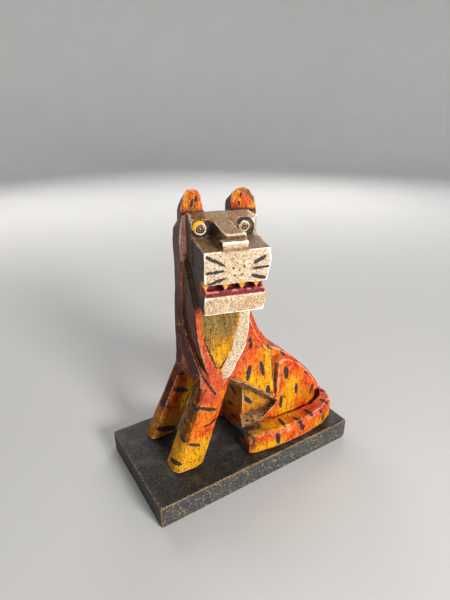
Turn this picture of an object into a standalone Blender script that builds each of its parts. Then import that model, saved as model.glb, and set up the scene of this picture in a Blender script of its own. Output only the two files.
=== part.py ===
"""Carved and painted wooden tiger, sitting on a plain board.

The board lies along Y and the tiger faces -Y. Its head is turned to its own left, towards +X.
Metres, +Z up. The origin is at the bottom centre of the board.
"""

import math

import bmesh
import bpy
from mathutils import Matrix, Vector

# Driving dimensions of the board, in metres
BOARD_LENGTH = 0.2100
BOARD_WIDTH = 0.1122
BOARD_THICKNESS = 0.0224
BOARD_EDGE = 0.0007
CHIP_LENGTH = 0.0060
CHIP_HEIGHT = 0.0034

# The figure stands on the board with a hair's gap, and keeps its carved proportions
GAP = 0.0003
FIGURE_HEIGHT = 0.2427
GRID_STEPS = 115.6
STEP = FIGURE_HEIGHT / GRID_STEPS
FIGURE_BASE = BOARD_THICKNESS + GAP

# Where the turned head sits over the body, in grid steps, and its turn
HEAD_TURN = math.radians(74.0)
HEAD_CENTRE = (0.0, -8.0)

# The muzzle's front, how far it lies ahead of that centre, and its widest place
MUZZLE_FRONT = 25.0
MUZZLE_WIDEST = 14.4

# The muzzle reaches past the board, and the origin lies under the middle of the whole
MUZZLE_REACH = (MUZZLE_WIDEST * math.cos(HEAD_TURN) + MUZZLE_FRONT * math.sin(HEAD_TURN)) * STEP
CENTRE_SHIFT = (BOARD_WIDTH / 2 - MUZZLE_REACH) / 2

# Half widths of the body, in grid steps
CORE_HALF = 12.2
FLANK_HALF = 13.2
THIGH_HALF = 13.8
NOTCH_FLOOR = 9.0
NOTCH_MOUTH = 14.4

# Floor and top of the dark cut between thigh and tail, and the width of the tail's bevel
CREASE_BED = 6.0
CREASE_TOP = 14.0
TAIL_BEVEL = 1.3

# How far an ear's front is folded forward at its crease, and how much lower its rear is
EAR_FOLD = 0.9
EAR_REAR_HEIGHT = 0.66
EAR_FRONT = -1.8
EAR_REAR = -10.6


def clear_scene():
    for old in list(bpy.data.objects):
        bpy.data.objects.remove(old, do_unlink=True)


def paint(name, colour, roughness):
    material = bpy.data.materials.new(name)
    material.use_nodes = True
    shader = material.node_tree.nodes["Principled BSDF"]
    shader.inputs["Base Color"].default_value = (*colour, 1.0)
    shader.inputs["Roughness"].default_value = roughness
    shader.inputs["Metallic"].default_value = 0.0
    material.diffuse_color = (*colour, 1.0)
    return material


def body_place():
    """The figure's frame: grid steps, with the board's top as its floor."""
    return Matrix.Translation((CENTRE_SHIFT, 0.0, FIGURE_BASE)) @ Matrix.Scale(STEP, 4)


def head_place():
    """The head's own frame: x runs across the face, y is minus the forward distance."""
    centre = Matrix.Translation((HEAD_CENTRE[0], HEAD_CENTRE[1], 0.0))
    return body_place() @ centre @ Matrix.Rotation(HEAD_TURN, 4, "Z")


def keep(shape, name, place):
    """Turns a bmesh laid out in grid steps into an object of true size, faces pointing out."""
    shape.transform(place)
    bmesh.ops.recalc_face_normals(shape, faces=shape.faces)
    mesh = bpy.data.meshes.new(name)
    shape.to_mesh(mesh)
    shape.free()
    item = bpy.data.objects.new(name, mesh)
    bpy.context.scene.collection.objects.link(item)
    return item


def loft(name, rings, place):
    """Closed solid through rings of points that all have the same count."""
    shape = bmesh.new()
    rows = [[shape.verts.new(point) for point in ring] for ring in rings]
    count = len(rows[0])
    for low, high in zip(rows, rows[1:]):
        for i in range(count):
            j = (i + 1) % count
            shape.faces.new((low[i], low[j], high[j], high[i]))
    shape.faces.new(rows[0])
    shape.faces.new(rows[-1])
    bmesh.ops.triangulate(shape, faces=shape.faces[:])
    return keep(shape, name, place)


def slab(name, outline, low, high, place, across="x", chamfer=0.0, chamfered=()):
    """An outline pushed from low to high along one axis, with some outline corners chamfered."""
    turned = {
        "x": lambda p, d: (d, p[0], p[1]),
        "forward": lambda p, d: (p[0], -d, p[1]),
        "side": lambda p, d: (d, -p[0], p[1]),
    }[across]
    shape = bmesh.new()
    first = [shape.verts.new(turned(p, low)) for p in outline]
    last = [shape.verts.new(turned(p, high)) for p in outline]
    count = len(outline)
    for i in range(count):
        j = (i + 1) % count
        shape.faces.new((first[i], first[j], last[j], last[i]))
    shape.faces.new(first)
    shape.faces.new(last)
    if chamfer > 0.0:
        rims = []
        for i in chamfered:
            j = (i + 1) % count
            rims += [shape.edges.get((first[i], first[j])), shape.edges.get((last[i], last[j]))]
        bmesh.ops.bevel(shape, geom=rims, offset=chamfer, segments=1, affect="EDGES")
    bmesh.ops.triangulate(shape, faces=[face for face in shape.faces if len(face.verts) > 4])
    return keep(shape, name, place)


def turned_boss(name, profile, centre, sides, place):
    """A round boss turned about the forward axis: profile pairs are radius and forward place."""
    rings = []
    for radius, forward in profile:
        ring = []
        for i in range(sides):
            angle = 2.0 * math.pi * i / sides
            x = centre[0] + radius * math.cos(angle)
            z = centre[1] + radius * math.sin(angle)
            ring.append((x, -forward, z))
        rings.append(ring)
    return loft(name, rings, place)


def combine(target, tool, operation):
    """Adds or cuts with an exact Boolean, and keeps the tool as a hidden guide."""
    step = target.modifiers.new(tool.name, "BOOLEAN")
    step.operation = operation
    step.solver = "EXACT"
    step.object = tool
    tool.hide_render = True
    tool.display_type = "WIRE"


def make_board():
    """The plain board, with the splinter missing from its lower corner behind the tail."""
    shape = bmesh.new()
    bmesh.ops.create_cube(shape, size=1.0)
    bmesh.ops.scale(shape, vec=(BOARD_WIDTH, BOARD_LENGTH, BOARD_THICKNESS), verts=shape.verts)
    bmesh.ops.translate(shape, vec=(0.0, 0.0, BOARD_THICKNESS / 2), verts=shape.verts)
    bmesh.ops.bevel(shape, geom=shape.edges[:], offset=BOARD_EDGE, segments=1, affect="EDGES")
    middle = Matrix.Translation((CENTRE_SHIFT, 0.0, 0.0))
    board = keep(shape, "plinth_board", middle)
    board.data.materials.append(paint("board_paint", (0.035, 0.036, 0.036), 0.6))
    corner = middle @ Matrix.Translation((BOARD_WIDTH / 2, BOARD_LENGTH / 2, 0.0))
    shape = bmesh.new()
    tip = shape.verts.new((CHIP_LENGTH, CHIP_LENGTH, -CHIP_HEIGHT))
    along = shape.verts.new((CHIP_LENGTH, -3.0 * CHIP_LENGTH, -CHIP_HEIGHT))
    inward = shape.verts.new((-3.0 * CHIP_LENGTH, CHIP_LENGTH, -CHIP_HEIGHT))
    up = shape.verts.new((CHIP_LENGTH, CHIP_LENGTH, 3.0 * CHIP_HEIGHT))
    for face in ((tip, along, inward), (tip, along, up), (along, inward, up), (inward, tip, up)):
        shape.faces.new(face)
    chip = keep(shape, "board_chip", corner)
    combine(board, chip, "DIFFERENCE")
    return board


def body_pieces():
    """Core, flank and thigh slabs, as side outlines in (y, z) pushed across the body."""
    place = body_place()
    back = [
        (47.4, 0.0), (47.6, 5.5), (46.2, 10.8), (43.4, 15.2), (40.2, 20.2), (35.8, 26.2),
        (26.0, 36.4), (17.2, 43.6), (8.6, 52.0), (1.0, 55.0),
    ]
    core = slab(
        "tiger",
        [(0.0, 0.0)] + back + [(-14.0, 55.0), (-20.5, 37.0), (-8.0, 33.4), (0.0, 26.8)],
        -CORE_HALF, CORE_HALF, place, chamfer=3.2, chamfered=range(2, 10),
    )
    flank = slab(
        "flank_plates",
        [(-18.6, 36.6), (-8.9, 36.2), (-1.7, 31.5), (6.6, 24.7), (15.6, 16.6), (14.6, 24.0),
         (13.3, 31.2), (12.4, 38.0), (11.4, 42.5), (9.0, 46.2), (3.0, 46.8), (-16.0, 43.0)],
        -FLANK_HALF, FLANK_HALF, place,
    )
    thigh = slab(
        "thigh_panels",
        [(16.3, 16.4), (13.4, 13.9), (8.3, 10.6), (8.0, 1.0), (36.0, 1.0), (41.0, 7.0),
         (41.3, 11.0), (41.1, 15.6), (39.2, 19.8), (34.0, 27.4), (28.6, 33.1), (23.0, 37.1),
         (19.5, 38.6), (16.9, 38.1), (16.2, 36.8), (16.0, 25.6)],
        -THIGH_HALF, THIGH_HALF, place, chamfer=0.7, chamfered=range(6, 16),
    )
    return core, [flank, thigh]


def notch_cutters():
    """The wedge cut under the belly on each side: its roof and its floor slant outwards."""
    deep = [
        (-9.5, 33.9), (-1.7, 28.9), (6.6, 22.1), (15.6, 14.6), (17.2, 13.6), (12.5, 11.6),
        (10.1, 10.9), (1.5, 12.4), (-9.5, 13.2),
    ]
    mouth = [
        (-9.5, 38.5), (-1.7, 33.5), (6.6, 26.7), (15.3, 18.7), (16.1, 17.1), (13.5, 14.4),
        (8.1, 10.8), (2.1, 10.3), (-9.5, 9.8),
    ]
    cutters = []
    for side in (-1.0, 1.0):
        rings = [
            [(side * NOTCH_FLOOR, y, z) for y, z in deep],
            [(side * NOTCH_MOUTH, y, z) for y, z in mouth],
        ]
        cutters.append(loft("belly_notch", rings, body_place()))
    return cutters


def forelegs():
    """Two straight slanting forelegs with chamfered corners. The far one stands wider."""
    near_foot = [
        (4.9, -37.0), (9.0, -37.9), (12.2, -37.6), (14.4, -36.0), (15.0, -33.4), (15.1, -27.5),
        (14.3, -24.0), (11.5, -22.6), (6.0, -22.8), (4.5, -25.0),
    ]
    near_shoulder = [
        (4.7, -19.9), (8.8, -20.6), (11.4, -20.4), (13.2, -19.2), (13.9, -16.8), (13.9, -11.0),
        (13.2, -8.2), (11.0, -7.0), (5.6, -7.2), (4.2, -9.4),
    ]
    far_foot = [
        (-10.1, -34.7), (-10.9, -36.9), (-14.3, -37.7), (-17.1, -37.2), (-18.7, -35.0),
        (-18.9, -28.0), (-18.0, -24.6), (-15.0, -23.2), (-11.6, -23.6), (-9.9, -27.0),
    ]
    far_shoulder = [
        (-6.8, -18.4), (-7.6, -20.0), (-10.6, -20.8), (-13.1, -19.8), (-13.8, -17.5),
        (-13.9, -11.0), (-13.2, -8.4), (-11.0, -7.2), (-7.5, -7.2), (-6.2, -10.0),
    ]
    legs = []
    for foot, shoulder in ((near_foot, near_shoulder), (far_foot, far_shoulder)):
        rings = [[(x, y, 0.0) for x, y in foot], [(x, y, 40.5) for x, y in shoulder]]
        legs.append(loft("foreleg", rings, body_place()))
    return legs


def hind_foot(side):
    """The toes of a hind foot, in front of the haunch. Their top slopes outwards."""
    floor = [(7.6, -0.8), (13.4, -3.4), (14.0, 9.0), (7.6, 9.0)]
    top = [13.2, 10.4, 10.3, 11.3]
    rings = [
        [(side * x, y, 0.0) for x, y in floor],
        [(side * x, y, z) for (x, y), z in zip(floor, top)],
    ]
    return loft("hind_foot", rings, body_place())


def tail():
    """Tail laid round the near haunch: stations of outer place, inner place and three heights."""
    stations = [
        ((-5.0, 47.6), (-4.0, 41.0), 6.4, 8.6),
        ((4.0, 49.2), (2.0, 42.0), 8.0, 10.4),
        ((13.0, 48.8), (6.0, 41.0), 8.6, 11.0),
        ((19.6, 45.4), (9.0, 38.0), 8.6, 11.0),
        ((22.8, 38.0), (10.0, 33.0), 8.0, 10.4),
        ((24.0, 27.0), (10.5, 26.0), 7.4, 9.9),
        ((24.1, 17.0), (10.5, 16.0), 7.6, 10.1),
        ((23.4, 7.0), (10.0, 8.0), 8.4, 11.0),
        ((22.2, 0.0), (9.6, 1.0), 8.8, 11.4),
        ((20.6, -4.2), (9.0, -4.4), 7.6, 10.2),
    ]
    rings = []
    for outer, inner, wall, crown in stations:
        out = Vector((outer[0], outer[1], 0.0))
        across = Vector((inner[0], inner[1], 0.0)) - out
        across.normalize()
        shoulder = out + across * TAIL_BEVEL
        rings.append([
            tuple(out), (out.x, out.y, wall - 0.5), (shoulder.x, shoulder.y, crown - 0.9),
            (inner[0], inner[1], crown - 1.2), (inner[0], inner[1], 0.0),
        ])
    return loft("tail", rings, body_place())


def tail_crease():
    """The dark saw-cut between the thigh and the tail that lies round it."""
    line = [
        ((9.0, 45.8), 1.0), ((13.0, 42.2), 1.2), ((15.1, 36.0), 1.15), ((14.9, 28.0), 0.9),
        ((14.6, 20.0), 0.7), ((14.4, 12.0), 0.5), ((14.2, 6.0), 0.45),
    ]
    rings = []
    for i, ((x, y), half) in enumerate(line):
        before = Vector(line[max(i - 1, 0)][0])
        after = Vector(line[min(i + 1, len(line) - 1)][0])
        along = (after - before).normalized()
        out = Vector((-along.y, along.x)) * half
        rings.append([(x - out.x, y - out.y, CREASE_BED), (x + out.x, y + out.y, CREASE_BED),
                      (x + out.x, y + out.y, CREASE_TOP), (x - out.x, y - out.y, CREASE_TOP)])
    return loft("tail_crease", rings, body_place())


def chest():
    """The upright column of chest and shoulders: level rings from the crotch up into the hood."""
    rings = [
        (36.8, [(-13.2, -21.6), (-11.0, -22.6), (11.8, -22.6), (13.2, -20.6), (12.9, 2.0),
                (8.0, 8.0), (-8.0, 8.0), (-12.9, 2.0)]),
        (43.0, [(-13.2, -20.9), (-11.0, -22.1), (10.6, -22.1), (12.8, -18.6), (13.5, 11.0),
                (9.4, 16.0), (-9.4, 16.0), (-13.5, 11.0)]),
        (48.0, [(-13.5, -20.6), (-11.4, -21.8), (4.6, -21.8), (7.0, -17.6), (13.3, 8.5),
                (9.2, 12.8), (-9.2, 12.8), (-13.4, 8.5)]),
        (54.0, [(-14.6, -20.0), (-12.0, -21.6), (-0.8, -21.6), (2.0, -15.0), (11.2, 5.0),
                (8.4, 8.6), (-8.6, 11.2), (-13.8, 2.0)]),
        (61.0, [(-15.8, -19.5), (-13.2, -20.8), (-4.6, -21.4), (-2.2, -16.0), (8.0, 3.6),
                (5.0, 7.2), (-8.2, 10.4), (-13.8, -4.0)]),
        (70.0, [(-15.4, -19.2), (-14.4, -19.8), (-4.2, -21.0), (-3.0, -18.0), (4.2, 3.8),
                (2.6, 6.2), (-7.4, 8.4), (-9.4, 5.0)]),
    ]
    return loft("chest", [[(x, y, z) for x, y in ring] for z, ring in rings], body_place())


def hood():
    """Thick upright ruff behind the face, which carries the ears. Its top slopes to the rear."""
    front = [
        (-14.3, 58.0), (-13.9, 70.0), (-13.7, 84.0), (-14.1, 95.0), (-13.5, 101.0), (-12.6, 105.4),
        (16.4, 105.0), (17.2, 99.0), (16.4, 86.0), (15.2, 70.0), (15.2, 58.0),
    ]
    rear = [
        (-15.2, 58.0), (-15.0, 70.0), (-14.5, 84.0), (-15.0, 93.0), (-14.4, 97.6), (-12.6, 100.2),
        (15.6, 100.0), (16.6, 95.0), (16.0, 84.0), (15.0, 70.0), (15.0, 58.0),
    ]
    rings = [[(s, 0.0, z) for s, z in front], [(s, 12.0, z) for s, z in rear]]
    return loft("hood", rings, head_place())


def ear(name, outline):
    """An ear block: its front is folded forward along a crease, its top slopes to the rear."""
    root = outline[0][1]
    top = max(range(len(outline)), key=lambda i: outline[i][1])
    crease_x = outline[top][0]
    shape = bmesh.new()
    face = []
    rear = []
    for i, (x, z) in enumerate(outline):
        fold = EAR_FOLD if i == top else 0.0
        face.append(shape.verts.new((x, -(EAR_FRONT + fold), z)))
        rear.append(shape.verts.new((x, -EAR_REAR, root + (z - root) * EAR_REAR_HEIGHT)))
    foot = shape.verts.new((crease_x, -(EAR_FRONT + EAR_FOLD), root))
    rear_foot = shape.verts.new((crease_x, -EAR_REAR, root))
    shape.faces.new(face[:top + 1] + [foot])
    shape.faces.new(face[top:] + [foot])
    shape.faces.new([rear_foot] + rear[:top + 1][::-1])
    shape.faces.new([rear_foot] + rear[top:][::-1])
    for i in range(len(outline) - 1):
        shape.faces.new((face[i], face[i + 1], rear[i + 1], rear[i]))
    shape.faces.new((face[-1], foot, rear_foot, rear[-1]))
    shape.faces.new((foot, face[0], rear[0], rear_foot))
    bmesh.ops.triangulate(shape, faces=shape.faces[:])
    return keep(shape, name, head_place())


def ears():
    left = [(-12.9, 99.0), (-12.7, 107.6), (-11.4, 112.6), (-9.8, 114.4), (-7.8, 114.8),
            (-5.8, 114.2), (-4.4, 111.4), (-3.7, 107.0), (-3.5, 99.0)]
    right = [(7.0, 99.0), (7.0, 109.0), (7.4, 112.2), (9.6, 113.8), (12.0, 114.4),
             (14.8, 113.0), (16.8, 110.2), (17.7, 106.5), (17.8, 99.0)]
    return [ear("ear_left", left), ear("ear_right", right)]


def head_blocks():
    """Muzzle, upper head, nose ridge and nose pad, each a block across the face."""
    place = head_place()
    muzzle = loft("muzzle", [
        [(-10.9, 3.0, 74.3), (12.2, 3.0, 74.3), (13.0, 3.0, 81.4), (13.8, 3.0, 86.0),
         (14.8, 3.0, 93.5), (14.6, 3.0, 98.9), (-11.0, 3.0, 98.9)],
        [(-10.9, -11.0, 74.3), (12.1, -11.0, 74.3), (13.0, -11.0, 81.4), (13.4, -11.0, 86.0),
         (14.6, -11.0, 93.5), (14.3, -11.0, 98.8), (-11.0, -11.0, 98.8)],
        [(-10.7, -MUZZLE_FRONT, 74.3), (11.8, -MUZZLE_FRONT, 74.3), (12.9, -MUZZLE_FRONT, 81.4),
         (12.8, -MUZZLE_FRONT, 85.8), (MUZZLE_WIDEST, -MUZZLE_FRONT, 93.5),
         (13.8, -MUZZLE_FRONT, 98.0), (-10.4, -MUZZLE_FRONT, 98.0)],
    ], place)
    brow = loft("brow", [
        [(-11.4, 4.5, 88.0), (15.6, 4.5, 88.0), (15.6, 4.5, 102.4), (12.0, 4.5, 104.8),
         (-11.4, 4.5, 104.8)],
        [(-11.5, -5.0, 88.0), (15.7, -5.0, 88.0), (15.5, -5.0, 104.6), (11.8, -5.0, 106.9),
         (-11.5, -5.0, 107.2)],
        [(-11.5, -10.0, 88.0), (13.2, -10.0, 88.0), (12.6, -10.0, 104.0), (11.2, -10.0, 105.5),
         (-11.5, -10.0, 105.6)],
    ], place)
    ridge = loft("nose_ridge", [
        [(-5.0, -9.0, 97.0), (3.4, -9.0, 97.0), (2.6, -9.0, 105.8), (-4.1, -9.0, 105.8)],
        [(-4.5, -16.6, 97.0), (5.2, -16.6, 97.0), (4.6, -16.6, 103.4), (-2.1, -16.6, 103.4)],
        [(-4.1, -20.3, 97.0), (7.0, -20.3, 97.0), (6.8, -20.3, 102.3), (-1.1, -20.3, 102.3)],
    ], place)
    pad = loft("nose_pad", [
        [(-3.8, -19.9, 97.0), (6.2, -19.9, 97.0), (6.1, -19.9, 100.9), (-3.7, -19.9, 100.9)],
        [(-3.8, -24.85, 97.0), (5.8, -24.85, 97.0), (5.8, -24.85, 101.1), (-3.8, -24.85, 101.1)],
    ], place)
    return [muzzle, brow, ridge, pad]


def neck():
    """Throat block under the jaw, whose front is the long V of the collar."""
    front = [
        (-12.4, 73.2), (-12.4, 64.8), (-11.1, 55.8), (-8.9, 46.2), (-5.6, 35.4), (-2.6, 33.0),
        (0.2, 39.4), (2.6, 42.6), (5.9, 49.2), (8.5, 54.8), (9.6, 61.4), (9.9, 73.2), (0.0, 78.0),
    ]
    rear = [
        (-13.0, 92.0), (-13.3, 64.0), (-12.6, 55.0), (-11.2, 46.2), (-7.6, 38.4), (-2.6, 38.0),
        (2.4, 41.0), (5.2, 43.6), (8.2, 49.4), (10.4, 55.0), (11.4, 61.0), (13.4, 90.0), (0.0, 94.0),
    ]
    rings = [
        [(s, 3.0, z) for s, z in rear],
        [(s, -15.2, z) for s, z in front],
        [(s * 0.97 + 0.1, -16.0, z * 0.995 + 0.2) for s, z in front],
    ]
    return loft("neck", rings, head_place())


def bib_cutter():
    """The throat panel lies a little lower than the two collar bands beside it."""
    outline = [(-9.8, 76.5), (-9.4, 64.0), (-8.4, 57.6), (-6.2, 50.6), (-3.3, 44.6), (-0.6, 49.0),
               (2.2, 54.0), (4.4, 62.0), (5.6, 76.5)]
    return slab("bib_cut", outline, 15.3, 18.0, head_place(), across="forward")


def mouth_cutter():
    outline = [(20.0, 81.4), (27.0, 81.4), (27.0, 85.8), (20.0, 85.6)]
    return slab("mouth_slot", outline, -13.0, 16.0, head_place(), across="side")


def mouth_pieces():
    """A tongue slab on the lower jaw and four blunt teeth under the upper one."""
    place = head_place()
    tongue = slab("tongue", [(18.6, 80.4), (24.3, 80.4), (24.0, 83.0), (18.6, 83.2)],
                  -9.9, 12.5, place, across="side")
    pieces = [tongue]
    for centre, front in ((-9.3, 22.6), (-2.5, 24.5), (3.5, 24.5), (8.9, 24.5)):
        outline = [(centre - 1.3, 86.6), (centre - 1.2, 84.9), (centre - 0.7, 84.0), (centre, 83.7),
                   (centre + 0.7, 84.0), (centre + 1.2, 84.9), (centre + 1.3, 86.6)]
        pieces.append(slab("tooth", outline, 18.8, front, place, across="forward"))
    return pieces


def eyes():
    """Two stepped round bosses on the face, carved in one with the head."""
    bosses = []
    for name, centre, size in (("eye_left", (-8.0, 102.2), 1.0), ("eye_right", (8.6, 102.0), 0.84)):
        steps = [(2.55, 9.4), (2.45, 10.9), (2.1, 11.2), (1.5, 11.2), (1.35, 10.9), (1.1, 10.9),
                 (0.95, 11.3), (0.4, 11.45)]
        profile = [(radius * size, forward) for radius, forward in steps]
        bosses.append(turned_boss(name, profile, centre, 20, head_place()))
    return bosses


def make_tiger():
    """Everything above the board is carved in one, so it is joined to one solid."""
    tiger, plates = body_pieces()
    for plate in plates:
        combine(tiger, plate, "UNION")
    for cutter in notch_cutters():
        combine(tiger, cutter, "DIFFERENCE")
    upper = [chest(), neck(), hood()] + ears() + head_blocks() + eyes()
    lower = [hind_foot(-1.0), hind_foot(1.0)] + forelegs() + [tail()]
    for item in upper + lower:
        combine(tiger, item, "UNION")
    for cutter in (mouth_cutter(), bib_cutter(), tail_crease()):
        combine(tiger, cutter, "DIFFERENCE")
    for item in mouth_pieces():
        combine(tiger, item, "UNION")
    tiger.data.materials.append(paint("tiger_paint", (0.62, 0.16, 0.035), 0.45))
    return tiger


clear_scene()
make_board()
make_tiger()
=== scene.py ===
# %% [markdown]
# A carved and painted wooden tiger on a board
#
# The real object is whittled from one block of soft wood, primed, painted with a stiff brush and
# worn by handling. This lesson dresses the plain solids of the frame: each is copied, cut up finely,
# softened as a knife would leave it, and then painted point by point before a material reads the
# paint. The frame gives the true size and place of everything, so nothing is fitted afterwards.

import math

import bpy
import numpy as np
from mathutils import Matrix, Vector


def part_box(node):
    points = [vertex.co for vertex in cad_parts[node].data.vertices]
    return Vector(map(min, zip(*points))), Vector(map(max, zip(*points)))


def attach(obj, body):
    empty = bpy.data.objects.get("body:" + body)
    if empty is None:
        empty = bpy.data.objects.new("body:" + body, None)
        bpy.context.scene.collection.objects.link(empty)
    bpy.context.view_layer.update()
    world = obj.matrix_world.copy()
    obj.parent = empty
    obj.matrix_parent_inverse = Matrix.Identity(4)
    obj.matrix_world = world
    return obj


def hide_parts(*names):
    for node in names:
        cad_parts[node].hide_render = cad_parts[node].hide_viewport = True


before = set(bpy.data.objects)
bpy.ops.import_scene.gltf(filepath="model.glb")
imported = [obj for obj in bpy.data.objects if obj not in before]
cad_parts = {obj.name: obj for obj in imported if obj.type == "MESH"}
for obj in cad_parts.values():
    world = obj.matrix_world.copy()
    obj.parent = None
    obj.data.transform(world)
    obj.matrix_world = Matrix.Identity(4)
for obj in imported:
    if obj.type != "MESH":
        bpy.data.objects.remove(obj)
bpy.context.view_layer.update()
print("solids in the frame:", sorted(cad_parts))

# %% [markdown]
# Measures
#
# The carver's proportions are kept in grid steps: the figure is 114.8 steps from its feet to the tip
# of its left ear. The body faces -Y, and the head is turned 74 degrees to the tiger's left. So a place
# on the body is given as (x, y, z) in steps, and a place on the head as (across, forward, height).

# %% Measures in grid steps
EAR_TIP = 114.8
HEAD_TURN = math.radians(74.0)
HEAD_BACK = 8.0

figure_low, figure_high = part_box("tiger")
board_low, board_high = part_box("plinth_board")
STEP = (figure_high.z - figure_low.z) / EAR_TIP
FEET = figure_low.z
MIDDLE_X = (board_low.x + board_high.x) / 2
print("one step is %.3f mm" % (STEP * 1000))


def on_head(across, forward, height):
    """A place given on the turned head, as a place on the body, in steps."""
    c, s = math.cos(HEAD_TURN), math.sin(HEAD_TURN)
    return (across * c + forward * s, across * s - forward * c - HEAD_BACK, height)


# %% [markdown]
# Camera
#
# The photograph was taken from above the tiger's left shoulder, close by, with a wide lens. The
# matched camera stands 1.5 board lengths to the side of the board, and looks down by 25 degrees.

# %% Camera
BOARD_LENGTH = board_high.y - board_low.y
LOOK_ROUND = math.radians(58.074)
LOOK_DOWN = math.radians(24.615)
LEAN = math.radians(-0.295)

LENS = 27.3
ASIDE, AHEAD, ABOVE = 1.47205, 0.95078, 1.47103

camera_data = bpy.data.cameras.new("camera")
camera_data.lens = LENS
camera_data.clip_start = 0.01
camera = bpy.data.objects.new("camera", camera_data)
bpy.context.scene.collection.objects.link(camera)
camera_place = Vector((
    MIDDLE_X + ASIDE * BOARD_LENGTH, -AHEAD * BOARD_LENGTH, board_high.z + ABOVE * BOARD_LENGTH))
turn = Matrix.Rotation(LOOK_ROUND, 4, "Z") @ Matrix.Rotation(math.pi / 2 - LOOK_DOWN, 4, "X")
camera.matrix_world = Matrix.Translation(camera_place) @ turn @ Matrix.Rotation(LEAN, 4, "Z")
bpy.context.scene.camera = camera
bpy.context.scene.view_settings.view_transform = "Standard"
print("camera at", [round(v, 3) for v in camera_place])

# %% [markdown]
# The carving
#
# Knife work has no razor edges: the paint and years of handling round them. The solid could be
# bevelled edge by edge, but its cuts meet at odd angles. Remeshing it into an even net of small
# squares, smoothing that a little, and then denting it with soft noise gives worn edges and the low
# waves of a knife everywhere at once.


# %% Copy a solid and cut it finely
def only(item):
    """Selects one object alone and makes it active."""
    bpy.ops.object.select_all(action="DESELECT")
    item.select_set(True)
    bpy.context.view_layer.objects.active = item


def apply_modifier(item, kind, **settings):
    """Adds a modifier with these settings, and applies it at once."""
    step = item.modifiers.new(kind.lower(), kind)
    for name, value in settings.items():
        setattr(step, name, value)
    only(item)
    bpy.ops.object.modifier_apply(modifier=step.name)


def fine_copy(node, name, net):
    """A copy of a solid as an even net of squares, with its object at the origin."""
    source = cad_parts[node]
    mesh = source.data.copy()
    mesh.transform(source.matrix_world)
    mesh.materials.clear()
    item = bpy.data.objects.new(name, mesh)
    bpy.context.scene.collection.objects.link(item)
    only(item)
    bpy.ops.object.mode_set(mode="EDIT")
    bpy.ops.mesh.select_all(action="SELECT")
    bpy.ops.mesh.remove_doubles(threshold=1e-6)
    bpy.ops.object.mode_set(mode="OBJECT")
    apply_modifier(item, "REMESH", mode="VOXEL", voxel_size=net, use_smooth_shade=True)
    return item


CARVING_NET = 0.00112
carving = fine_copy("tiger", "tiger_carving", CARVING_NET)
apply_modifier(carving, "SMOOTH", factor=0.5, iterations=2)
print("carving:", len(carving.data.polygons), "squares")


# %% Dent it like knife work
def dents(item, name, kind, size, depth):
    """Soft dents from a noise of the given size. They go inwards more than outwards."""
    texture = bpy.data.textures.new(name, kind)
    texture.noise_scale = size
    apply_modifier(item, "DISPLACE", texture=texture, texture_coords="LOCAL",
                   strength=depth, mid_level=0.75)


dents(carving, "knife_facets", "VORONOI", 0.011, 0.0005)
dents(carving, "wood_waves", "CLOUDS", 0.006, 0.0004)
dents(carving, "tool_marks", "CLOUDS", 0.0022, 0.0003)
print("dented with", len(bpy.data.textures), "patterns")

# %% [markdown]
# Reading the net
#
# The paint is laid on with arrays: each point of the net knows its place in steps, the way it faces,
# and how much it stands proud of its neighbours. Proud points are edges that hands have rubbed, and
# they get painted highlights as well; sunk ones are corners that keep dirt, and get painted shade.


# %% Read the points of a net
def read_points(item):
    """Places in steps, the way each point faces, and how proud it stands in millimetres."""
    mesh = item.data
    count = len(mesh.vertices)
    place = np.zeros(count * 3)
    mesh.vertices.foreach_get("co", place)
    place = place.reshape(-1, 3)
    facing = np.zeros(count * 3)
    mesh.vertices.foreach_get("normal", facing)
    facing = facing.reshape(-1, 3)
    pairs = np.zeros(len(mesh.edges) * 2, dtype=np.int64)
    mesh.edges.foreach_get("vertices", pairs)
    pairs = pairs.reshape(-1, 2)
    ends = np.concatenate([pairs[:, 0], pairs[:, 1]])
    others = np.concatenate([pairs[:, 1], pairs[:, 0]])
    links = np.bincount(ends, minlength=count).astype(float)

    def spread(values, rounds):
        """Each point takes the mean of itself and its neighbours, several times over."""
        for _ in range(rounds):
            columns = [np.bincount(ends, weights=values[others, i], minlength=count) / links
                       for i in range(values.shape[1])]
            values = 0.5 * values + 0.5 * np.stack(columns, axis=1)
        return values

    proud = ((place - spread(place, 12)) * facing).sum(axis=1) * 1000.0
    facing = spread(facing, 3)
    facing /= np.linalg.norm(facing, axis=1)[:, None]
    steps = (place - np.array([MIDDLE_X, 0.0, FEET])) / STEP
    return steps, facing, proud, spread


points, facing, proud, spread = read_points(carving)
x, y, z = points.T
cosine, sine = math.cos(HEAD_TURN), math.sin(HEAD_TURN)
across = cosine * x + sine * (y + HEAD_BACK)
forward = sine * x - cosine * (y + HEAD_BACK)
face_forward = sine * facing[:, 0] - cosine * facing[:, 1]
face_across = cosine * facing[:, 0] + sine * facing[:, 1]
face_up = facing[:, 2]
print("points:", len(points), " proudest %.2f mm, deepest %.2f mm" % (proud.max(), proud.min()))

# %% [markdown]
# Laying on colour
#
# A painter lays broad colours first and works wet into wet, so the borders are soft. Each colour
# goes on with a mask from 0 to 1. Masks come from slopes (a soft step), from distance to a line, and
# from which way the wood faces.


# %% Helpers for masks
def colour(red, green, blue):
    """A screen colour from 0 to 255, as the linear values that a material reads."""
    values = np.array([red, green, blue]) / 255.0
    return np.where(values <= 0.04045, values / 12.92, ((values + 0.055) / 1.055) ** 2.4)


def rise(values, low, high):
    """Goes from 0 at low to 1 at high, softly. Low may be the larger of the two."""
    t = np.clip((values - low) / (high - low), 0.0, 1.0)
    return t * t * (3.0 - 2.0 * t)


def between(values, low, high, soft=0.4):
    """Is 1 from low to high, and 0 outside, with soft ends."""
    return rise(values, low - soft, low + soft) * rise(values, high + soft, high - soft)


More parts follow.
